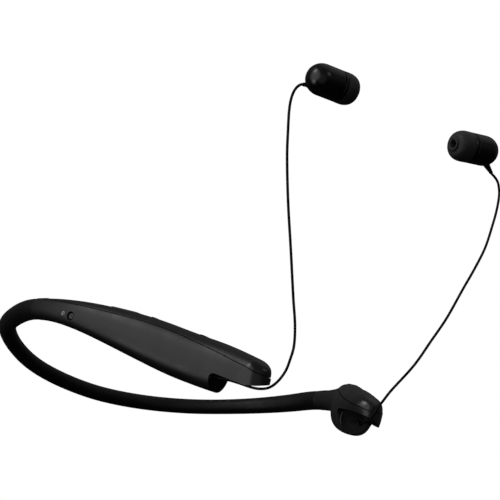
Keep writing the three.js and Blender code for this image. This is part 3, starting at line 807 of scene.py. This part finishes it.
def housing_shape():
    """Outer skin of the lower moulding: belly, side walls that run on as the hood, closed collar."""
    rows = stations(0)
    vertices = []
    for a in rows:
        split = angle_at(a, split_at(a))
        low, inner_low = hood_angles(max(a, HOOD_START), lambda angles: section(a, angles))
        inner = outline_stretch(a, math.pi - split, inner_low, SIDE_COLUMNS)
        belly = outline_stretch(a, inner_low, 2 * math.pi + low, LOW_COLUMNS)
        side = outline_stretch(a, low, split, SIDE_COLUMNS)
        top = outline_stretch(a, split, math.pi - split, LID_COLUMNS)
        loop = np.vstack([inner[:-1], belly[:-1], side[:-1], top[:-1]])
        vertices.append(place(a, loop[:, 0], loop[:, 1]))
    columns = len(vertices[0])
    first_belly = SIDE_COLUMNS - 1
    first_side = first_belly + LOW_COLUMNS - 1
    first_top = first_side + SIDE_COLUMNS - 1
    faces = []
    for row, far in enumerate(rows[1:]):
        for c in range(columns):
            in_belly = first_belly <= c < first_side
            in_top = c >= first_top
            if (in_belly and far > HOOD_START + SAME) or (in_top and far > LID_START + SAME):
                continue
            d = (c + 1) % columns
            faces.append((row * columns + c, row * columns + d,
                          (row + 1) * columns + d, (row + 1) * columns + c))
    return np.vstack(vertices), faces


def end_wall_shape():
    """Bulkhead behind the socket, as a closed plate."""
    rim = section(HOOD_START - 0.0016, full_turn(PLATE_ROUND), WALL + 0.00005)
    return stacked([place(HOOD_START - depth, rim[:, 0], rim[:, 1]) for depth in (0.0024, 0.0013)])


def peg(radius, along, up):
    """A round cutter that crosses the arm's outer wall."""
    inner, outer = half_width_of(along) - 0.003, 0.012
    return outward_lathe([(0, inner), (radius, inner), (radius, outer), (0, outer)], along, 0, up, 48)


def slot_cutter(along, length, width, inner, outer):
    """A cutter with round ends through the arm's wall."""
    outline = stadium(length, width, 48)
    return stacked([place(along + outline[:, 0], out, outline[:, 1]) for out in (inner, outer)])


def add_housing(side):
    """Lower moulding; the right one has the openings of power button, lamp and charging port."""
    piece = new_mesh(f"{side}_arm_shell", housing_shape())
    thicken(piece, WALL, 0.0005)
    merge(piece, new_mesh("wall", end_wall_shape()))
    if side == "right":
        inner_wall = -float(half_width_of(PORT))
        cut_out(piece, peg(0.00175, POWER, POWER_UP), peg(0.00085, LAMP, LAMP_UP),
                slot_cutter(PORT + 0.0008, 0.0112, 0.0048, inner_wall - 0.001, inner_wall + 0.00062),
                slot_cutter(PORT, 0.0082, 0.0034, inner_wall - 0.001, inner_wall + 0.0025))
    mirror_to(side, piece)
    finish_piece(piece, [f"{side}_housing"], f"{side}_arm", "satin_plastic")


def mirror_to(side, piece):
    """Turns a piece made on the right into its left twin, when it belongs on the left."""
    if side == "left":
        piece.data.transform(Matrix.Diagonal((-1, 1, 1, 1)))
        piece.data.flip_normals()


def merge(piece, other):
    """Adds another object's mesh to the piece."""
    mesh = bmesh.new()
    mesh.from_mesh(piece.data)
    mesh.from_mesh(other.data)
    mesh.to_mesh(piece.data)
    mesh.free()
    bpy.data.objects.remove(other)


def lid_shape():
    """Outer skin of the top cover, set in a little so that the lower moulding's lip stands proud."""
    rows = stations(LID_START + GAP, ARM_LENGTH - LID_INSET)
    vertices = []
    for a in rows:
        split = angle_at(a, min(split_at(a) + GAP, top_of(a) - LID_INSET - 1e-5), LID_INSET)
        top = outline_stretch(a, split, math.pi - split, LID_COLUMNS, LID_INSET)
        vertices.append(place(a, top[:, 0], top[:, 1]))
    return np.vstack(vertices), grid_faces(len(rows), LID_COLUMNS)


def top_cutter(along, length, width):
    """A cutter with round ends down through the lid."""
    loop = stadium(length, width)
    top = top_of(along + loop[:, 0])
    return stacked([place(along + loop[:, 0], loop[:, 1], top + shift) for shift in (-0.004, 0.003)])


def add_lid(side):
    piece = new_mesh(f"{side}_arm_lid", lid_shape())
    thicken(piece, WALL, 0.00018)
    cut_out(piece, top_cutter(ROCKER, 0.0145, 0.0047), top_cutter(CALL, 0.00492, BUTTON_HOLE),
            top_cutter(RETRACT, 0.00492, BUTTON_HOLE))
    mirror_to(side, piece)
    finish_piece(piece, [f"{side}_top_cover"], f"{side}_arm", "satin_plastic")


# ---------------------------------------------------------------- cradle and socket
def cradle_outline(along, angles, side_inset, roof_inset):
    """Section of the space under the hood."""
    cos, sin = np.cos(angles), np.sin(angles)
    nose = np.where(cos > 0, nose_round(along, NOSE_OUTER, WALL), nose_round(along, NOSE_INNER, WALL))
    half = (half_width_of(along) - side_inset) * nose
    height = split_at(along) - roof_inset - CRADLE_UP
    return np.column_stack([half * squared(cos, 0.7), CRADLE_UP + height * squared(sin, 0.7)])


def add_liner(side):
    """Glossy skin of the cradle under the hood."""
    rows = np.linspace(HOOD_START + 0.0012, ARM_LENGTH - 0.0030, 44)
    loops = []
    for a in rows:
        def outline(angles):
            return cradle_outline(a, angles, 0.00135, 0.0001)
        low, inner_low = hood_angles(a, lambda angles: outline(angles) - (0, 0.0003))
        loop = outline(np.linspace(low, inner_low, LINER_COLUMNS))
        loops.append(place(a, loop[:, 0], loop[:, 1]))
    piece = new_mesh(f"{side}_cradle_skin", (np.vstack(loops), grid_faces(len(rows), LINER_COLUMNS)))
    mirror_to(side, piece)
    thicken(piece, 0.0006, 0.0001, 2)
    finish_piece(piece, [f"{side}_cradle_liner"], f"{side}_arm", "gloss_plastic")


def add_socket(side):
    """Dished seat of the earbud, with the cord's grommet."""
    r = SOCKET_RADIUS
    profile = rounded([(0, 0.0002), (0.0034, 0.0002), (r - 0.0012, 0.0003), (r - 0.0004, 0.0004),
                       (r, 0.0002), (r, -0.0009), (0, -0.0009)], 0.0003)
    dish = moved(lathe(profile, 96), arm_matrix(HOOD_START, SOCKET_OUT, -NOTCH_DROP))
    ring = [(0.00095 + 0.00022 * math.cos(t), 0.00035 + 0.00028 * math.sin(t))
            for t in np.linspace(0, 2 * math.pi, 17)]
    grommet = moved(lathe(ring, 36), arm_matrix(HOOD_START, *CORD_OUTLET))
    add_sided(side, "socket_dish", joined(dish, grommet), ["earbud_socket"], "arm", "gloss_plastic")


# ---------------------------------------------------------------- controls
def crowned(along, loop, levels):
    """A cap on the lid: the loop shrunk by each level's share, at each level's height above the lid."""
    return stacked([place(along + loop[:, 0] * share, loop[:, 1] * share,
                          top_of(along + loop[:, 0] * share) + height) for share, height in levels])


def raised_mark(along, loop):
    """A small raised mark on a cap."""
    levels = ((1, MARK_SINK - 0.0002), (1, MARK_SINK), (0.8, MARK_SINK + 0.00007))
    return stacked([place(along + loop[:, 0] * share, loop[:, 1] * share, top_of(along) + up)
                    for share, up in levels])


def add_rocker(side):
    """Rocker with a minus, a plus and a line across its pivot."""
    levels = [(0.96, -0.0014), (1, -0.0012), (1, -0.0004), (0.975, -0.00018), (0.92, -0.00008),
              (0.8, MARK_SINK), (0.5, MARK_SINK), (0.2, MARK_SINK)]
    cap = crowned(ROCKER, stadium(0.0138, 0.0041), levels)
    stroke = stadium(0.0016, 0.00032, 20)
    pivot_line = stadium(0.0024, 0.0003, 20)[:, ::-1]
    marks = [raised_mark(ROCKER - 0.0046, stroke), raised_mark(ROCKER + 0.0046, stroke),
             raised_mark(ROCKER + 0.0046, stroke[:, ::-1]), raised_mark(ROCKER, pivot_line)]
    name, node = ("track_bar", "track_rocker") if side == "right" else ("volume_bar", "volume_rocker")
    add_sided(side, name, joined(cap, *marks), [node], "rocker", "satin_plastic")


def button_shape(along, stem, dished):
    """Round button with its stem, on the lid."""
    crown = -0.0002 if dished else 0.00005
    profile = rounded([(0, crown), (0.0011, crown + (0.00012 if dished else -0.00003)), (0.0018, -0.00006),
                       (0.0022, -0.00025), (0.0022, -0.0016), (0.0009, -0.0016), (0.0009, -stem),
                       (0, -stem)], 0.0002)
    turned = moved(lathe(profile, 64), Matrix.Rotation(math.pi / 2, 4, "X"))
    return moved(turned, arm_matrix(along, 0, top_of(along)))


def add_buttons(side):
    """Dished play or call button, and the retract button whose foot reaches the pawl."""
    call_name = "play" if side == "right" else "call"
    add_sided(side, f"{call_name}_cap", button_shape(CALL, 0.0030, True), [f"{call_name}_button"], "call",
              "satin_plastic")
    stem = float(top_of(RETRACT)) - PAWL_TOP
    foot_box = [(x, y, z) for x in (-0.0034, 0.0004) for y in (-0.0007, 0.0007)
                for z in (-stem, 0.001 - stem)]
    foot_faces = [(0, 1, 3, 2), (4, 6, 7, 5), (0, 4, 5, 1), (2, 3, 7, 6), (0, 2, 6, 4), (1, 5, 7, 3)]
    foot = moved((foot_box, foot_faces), arm_matrix(RETRACT, 0, top_of(RETRACT)))
    shape = joined(button_shape(RETRACT, stem, False), foot)
    add_sided(side, "retract_cap", shape, ["retract_button"], "retract", "satin_plastic")


def add_power_button():
    """Round button with a raised rim, and the light guide beside it, whose pale ring is partly a painted
    highlight.
    """
    profile = rounded([(0, 0), (0.0006, 0.00002), (0.0009, 0.00004), (0.00125, -0.0001), (0.0013, -0.0003),
                       (0.0013, -0.0014), (0.001, -0.0014), (0.001, -0.0019), (0, -0.0019)], 0.0001)
    out = float(half_width_of(POWER)) - 0.00045
    add("right_power_cap", outward_lathe(profile, POWER, out, POWER_UP), ["right_power_button"],
        "right_power", "satin_plastic")
    # The light guide's pale ring stands partly for a painted highlight: the ring of light a dimpled lens
    # reflects.
    ring = [(0.00052, 0.0001), (0.00066, 0.00022), (0.0008, 0.0001), (0.0008, -0.0008), (0.00052, -0.0008)]
    lens = outward_lathe([*ring, ring[0]], LAMP, float(half_width_of(LAMP)) - 0.0002, LAMP_UP, 40)
    add("right_lamp_ring", lens, ["right_status_lens"], "right_arm", "lens_clear")


def add_port_flap():
    """Silicone flap over the charging port, with a finger lip."""
    centre = PORT + 0.0005
    half = float(half_width_of(centre))
    loop = stadium(0.0098, 0.0042, 56)
    levels = ((0.98, 0.0005), (1, 0.0004), (1, 0.0), (0.96, -0.00014), (0.86, -0.0002), (0.4, -0.0002))
    flap = stacked([place(centre + loop[:, 0] * share, out - half, loop[:, 1] * share)
                    for share, out in levels])
    lip = stadium(0.0011, 0.0026, 24)
    grip = stacked([place(centre - 0.0038 + lip[:, 0] * share, out - half, lip[:, 1] * share)
                    for share, out in ((1, 0.0), (1, -0.00035), (0.7, -0.00052))])
    add("right_port_cover", joined(flap, grip), ["port_flap"], "right_flap", "band_silicone")


# ---------------------------------------------------------------- earbuds
def earbud_matrix(side):
    """The earbud's own Y runs towards the ear."""
    bud = EARBUDS[side]
    tilt = math.radians(bud["tilt"])
    inward = np.array([-math.cos(tilt), 0, math.sin(tilt)])
    upward = np.array([math.sin(tilt), 0, math.cos(tilt)])
    forward = np.cross(inward, upward)
    axes = np.column_stack([forward, inward, upward])
    return np.array([[*row, o] for row, o in zip(axes, bud["centre"])])


def add_earbud(side):
    matrix = earbud_matrix(side)
    r = EARBUD_RADIUS

    def part(name, profile, node, body, look, around=96):
        add_sided(side, name, moved(lathe(profile, around), matrix), [node], body, look)

    turn = np.linspace(0, math.pi / 2, 24)
    dome = [(r * math.sin(t) ** 0.9, -0.0056 - 0.0060 * math.cos(t)) for t in turn]
    shell = [*dome, (r, 0.0008), (r - 0.00012, 0.00095), (r - 0.0009, 0.00095), (r - 0.0009, -0.0056),
             (0.0036, -0.0096), (0, -0.0104)]
    part("earbud_back", shell, "earbud_rear_cap", "arm", "gloss_plastic")
    front = [(r - 0.0013, -0.0031), (r - 0.0013, 0.00125), (r - 0.00012, 0.00125), (r, 0.0014), (r, 0.0023),
             (r - 0.00015, 0.0026), (0.0050, 0.0026), (0.0028, 0.0026), (0.0025, 0.0029), (0.0025, 0.0068),
             (0.0023, 0.0070), (0.0018, 0.0070), (0.0017, 0.0068), (0.0017, 0.0016), (0.0042, 0.0009),
             (0.0042, -0.0031)]
    part("earbud_front", [*front, front[0]], "earbud_housing", "arm", "gloss_plastic")
    mesh = [(0, 0.00665), (0.0010, 0.0066), (0.00155, 0.0065), (0.00155, 0.0063), (0, 0.0064)]
    part("earbud_grille", mesh, "nozzle_mesh", "arm", "steel_fittings", 48)
    skirt = np.linspace(0, math.pi / 2, 26)
    outer = [(0.0027 + (TIP_RADIUS - 0.0027) * math.cos(t) ** 0.8, 0.0046 + 0.0044 * math.sin(t))
             for t in skirt]
    outer[0] = (TIP_RADIUS, 0.0046)
    tip = [(0.0052, 0.0030), (0.0055, 0.00265), (TIP_RADIUS - 0.0001, 0.0027), (TIP_RADIUS, 0.0030), *outer,
           (0.0027, 0.0094), (0.0025, 0.0097), (0.0021, 0.0098), (0.0017, 0.0096), (0.0015, 0.0091),
           (0.0015, 0.0076), (0.0028, 0.0074), (0.0028, 0.0030), (0.0036, 0.0030), (0.0037, 0.0064),
           (0.0044, 0.0066), (0.0050, 0.0056)]
    part("ear_tip_skirt", [*tip, tip[0]], "ear_tip", "tip", "tip_silicone")


# ---------------------------------------------------------------- inner parts that keep their CAD shape
def dress_inner_parts():
    for row in frame["record"]["subparts"]:
        node = frame["nodes"][row["node"]]
        if not node.hide_render:
            node.data.materials.clear()
            node.data.materials.append(MATERIALS[row["material_slot"]])


# ---------------------------------------------------------------- stage
FLOOR_DROP = 0.16
FLOOR_REACH = 3.0


def add_floor():
    ends = (-FLOOR_REACH, FLOOR_REACH)
    vertices = [(x, y, -FLOOR_DROP) for y in ends for x in ends]
    floor = new_mesh("floor", (vertices, grid_faces(2, 2)))
    pale = Look("pale_floor", (0.8, 0.8, 0.8), 0.8)
    pale.vary_roughness(8, 0.75, 0.85)
    floor.data.materials.append(pale.material)
    floor.visible_glossy = False
    floor.visible_diffuse = False


def add_overhead():
    """A broad soft light straight above, that lets the floor's shadows stay faint."""
    light = bpy.data.lights.new("overhead", "AREA")
    light.shape = "DISK"
    light.size = 1.2
    light.energy = 2.0
    lamp = bpy.data.objects.new("overhead", light)
    lamp.location = (0, 0.09, 1.2)
    lamp.visible_camera = False
    lamp.visible_glossy = False
    bpy.context.scene.collection.objects.link(lamp)


# Soft boxes of the studio: direction towards the box, half angle, edge softness (degrees), strength.
SOFT_BOXES = [
    ((0.80, -0.12, 0.58), 8, 8, 3.0),
    ((-0.19, 0.79, 0.55), 7, 4, 1.0),
    ((0.85, -0.10, -0.52), 9, 8, 1.6),
    ((0.96, 0.05, 0.08), 30, 14, 0.95),
    ((-0.30, 0.00, 0.95), 24, 14, 0.15),
    ((0.53, 0.82, -0.20), 26, 16, 0.16),
]


def add_world():
    """A dim room with soft boxes; the camera itself sees plain white behind the object."""
    world = bpy.data.worlds.new("studio")
    world.use_nodes = True
    nodes, links = world.node_tree.nodes, world.node_tree.links
    background = nodes["Background"]

    def ranged(source, from_low, from_high, to_low, to_high):
        node = nodes.new("ShaderNodeMapRange")
        node.interpolation_type = "SMOOTHSTEP"
        for name, value in zip(("From Min", "From Max", "To Min", "To Max"),
                               (from_low, from_high, to_low, to_high)):
            node.inputs[name].default_value = value
        links.new(source, node.inputs["Value"])
        return node.outputs["Result"]

    def total(first, second):
        node = nodes.new("ShaderNodeMath")
        node.operation = "ADD"
        links.new(first, node.inputs[0])
        links.new(second, node.inputs[1])
        return node.outputs["Value"]

    place_node = nodes.new("ShaderNodeTexCoord").outputs["Generated"]
    split = nodes.new("ShaderNodeSeparateXYZ")
    links.new(place_node, split.inputs["Vector"])
    light = ranged(split.outputs["Z"], -0.25, 0.5, 0.01, 0.07)
    for direction, reach, edge, strength in SOFT_BOXES:
        dot = nodes.new("ShaderNodeVectorMath")
        dot.operation = "DOT_PRODUCT"
        dot.inputs[1].default_value = unit(np.array(direction))
        links.new(place_node, dot.inputs[0])
        low = math.cos(math.radians(reach + edge))
        high = math.cos(math.radians(max(0, reach - edge / 2)))
        light = total(light, ranged(dot.outputs["Value"], low, high, 0, strength))
    seen = nodes.new("ShaderNodeLightPath").outputs["Is Camera Ray"]
    mix = nodes.new("ShaderNodeMix")
    mix.data_type = "FLOAT"
    links.new(seen, mix.inputs["Factor"])
    links.new(light, mix.inputs[2])
    mix.inputs[3].default_value = 1.0
    links.new(mix.outputs[0], background.inputs["Strength"])
    background.inputs["Color"].default_value = (1, 1, 1, 1)
    bpy.context.scene.world = world
    bpy.context.scene.view_settings.view_transform = "Standard"


# ---------------------------------------------------------------- assembly
add_camera()
add_cord("right")
add_cord("left")
add_band()
for arm_side in ("right", "left"):
    add_housing(arm_side)
    add_lid(arm_side)
    add_liner(arm_side)
    add_socket(arm_side)
    add_rocker(arm_side)
    add_buttons(arm_side)
    add_earbud(arm_side)
add_power_button()
add_port_flap()
dress_inner_parts()
add_floor()
add_overhead()
add_world()
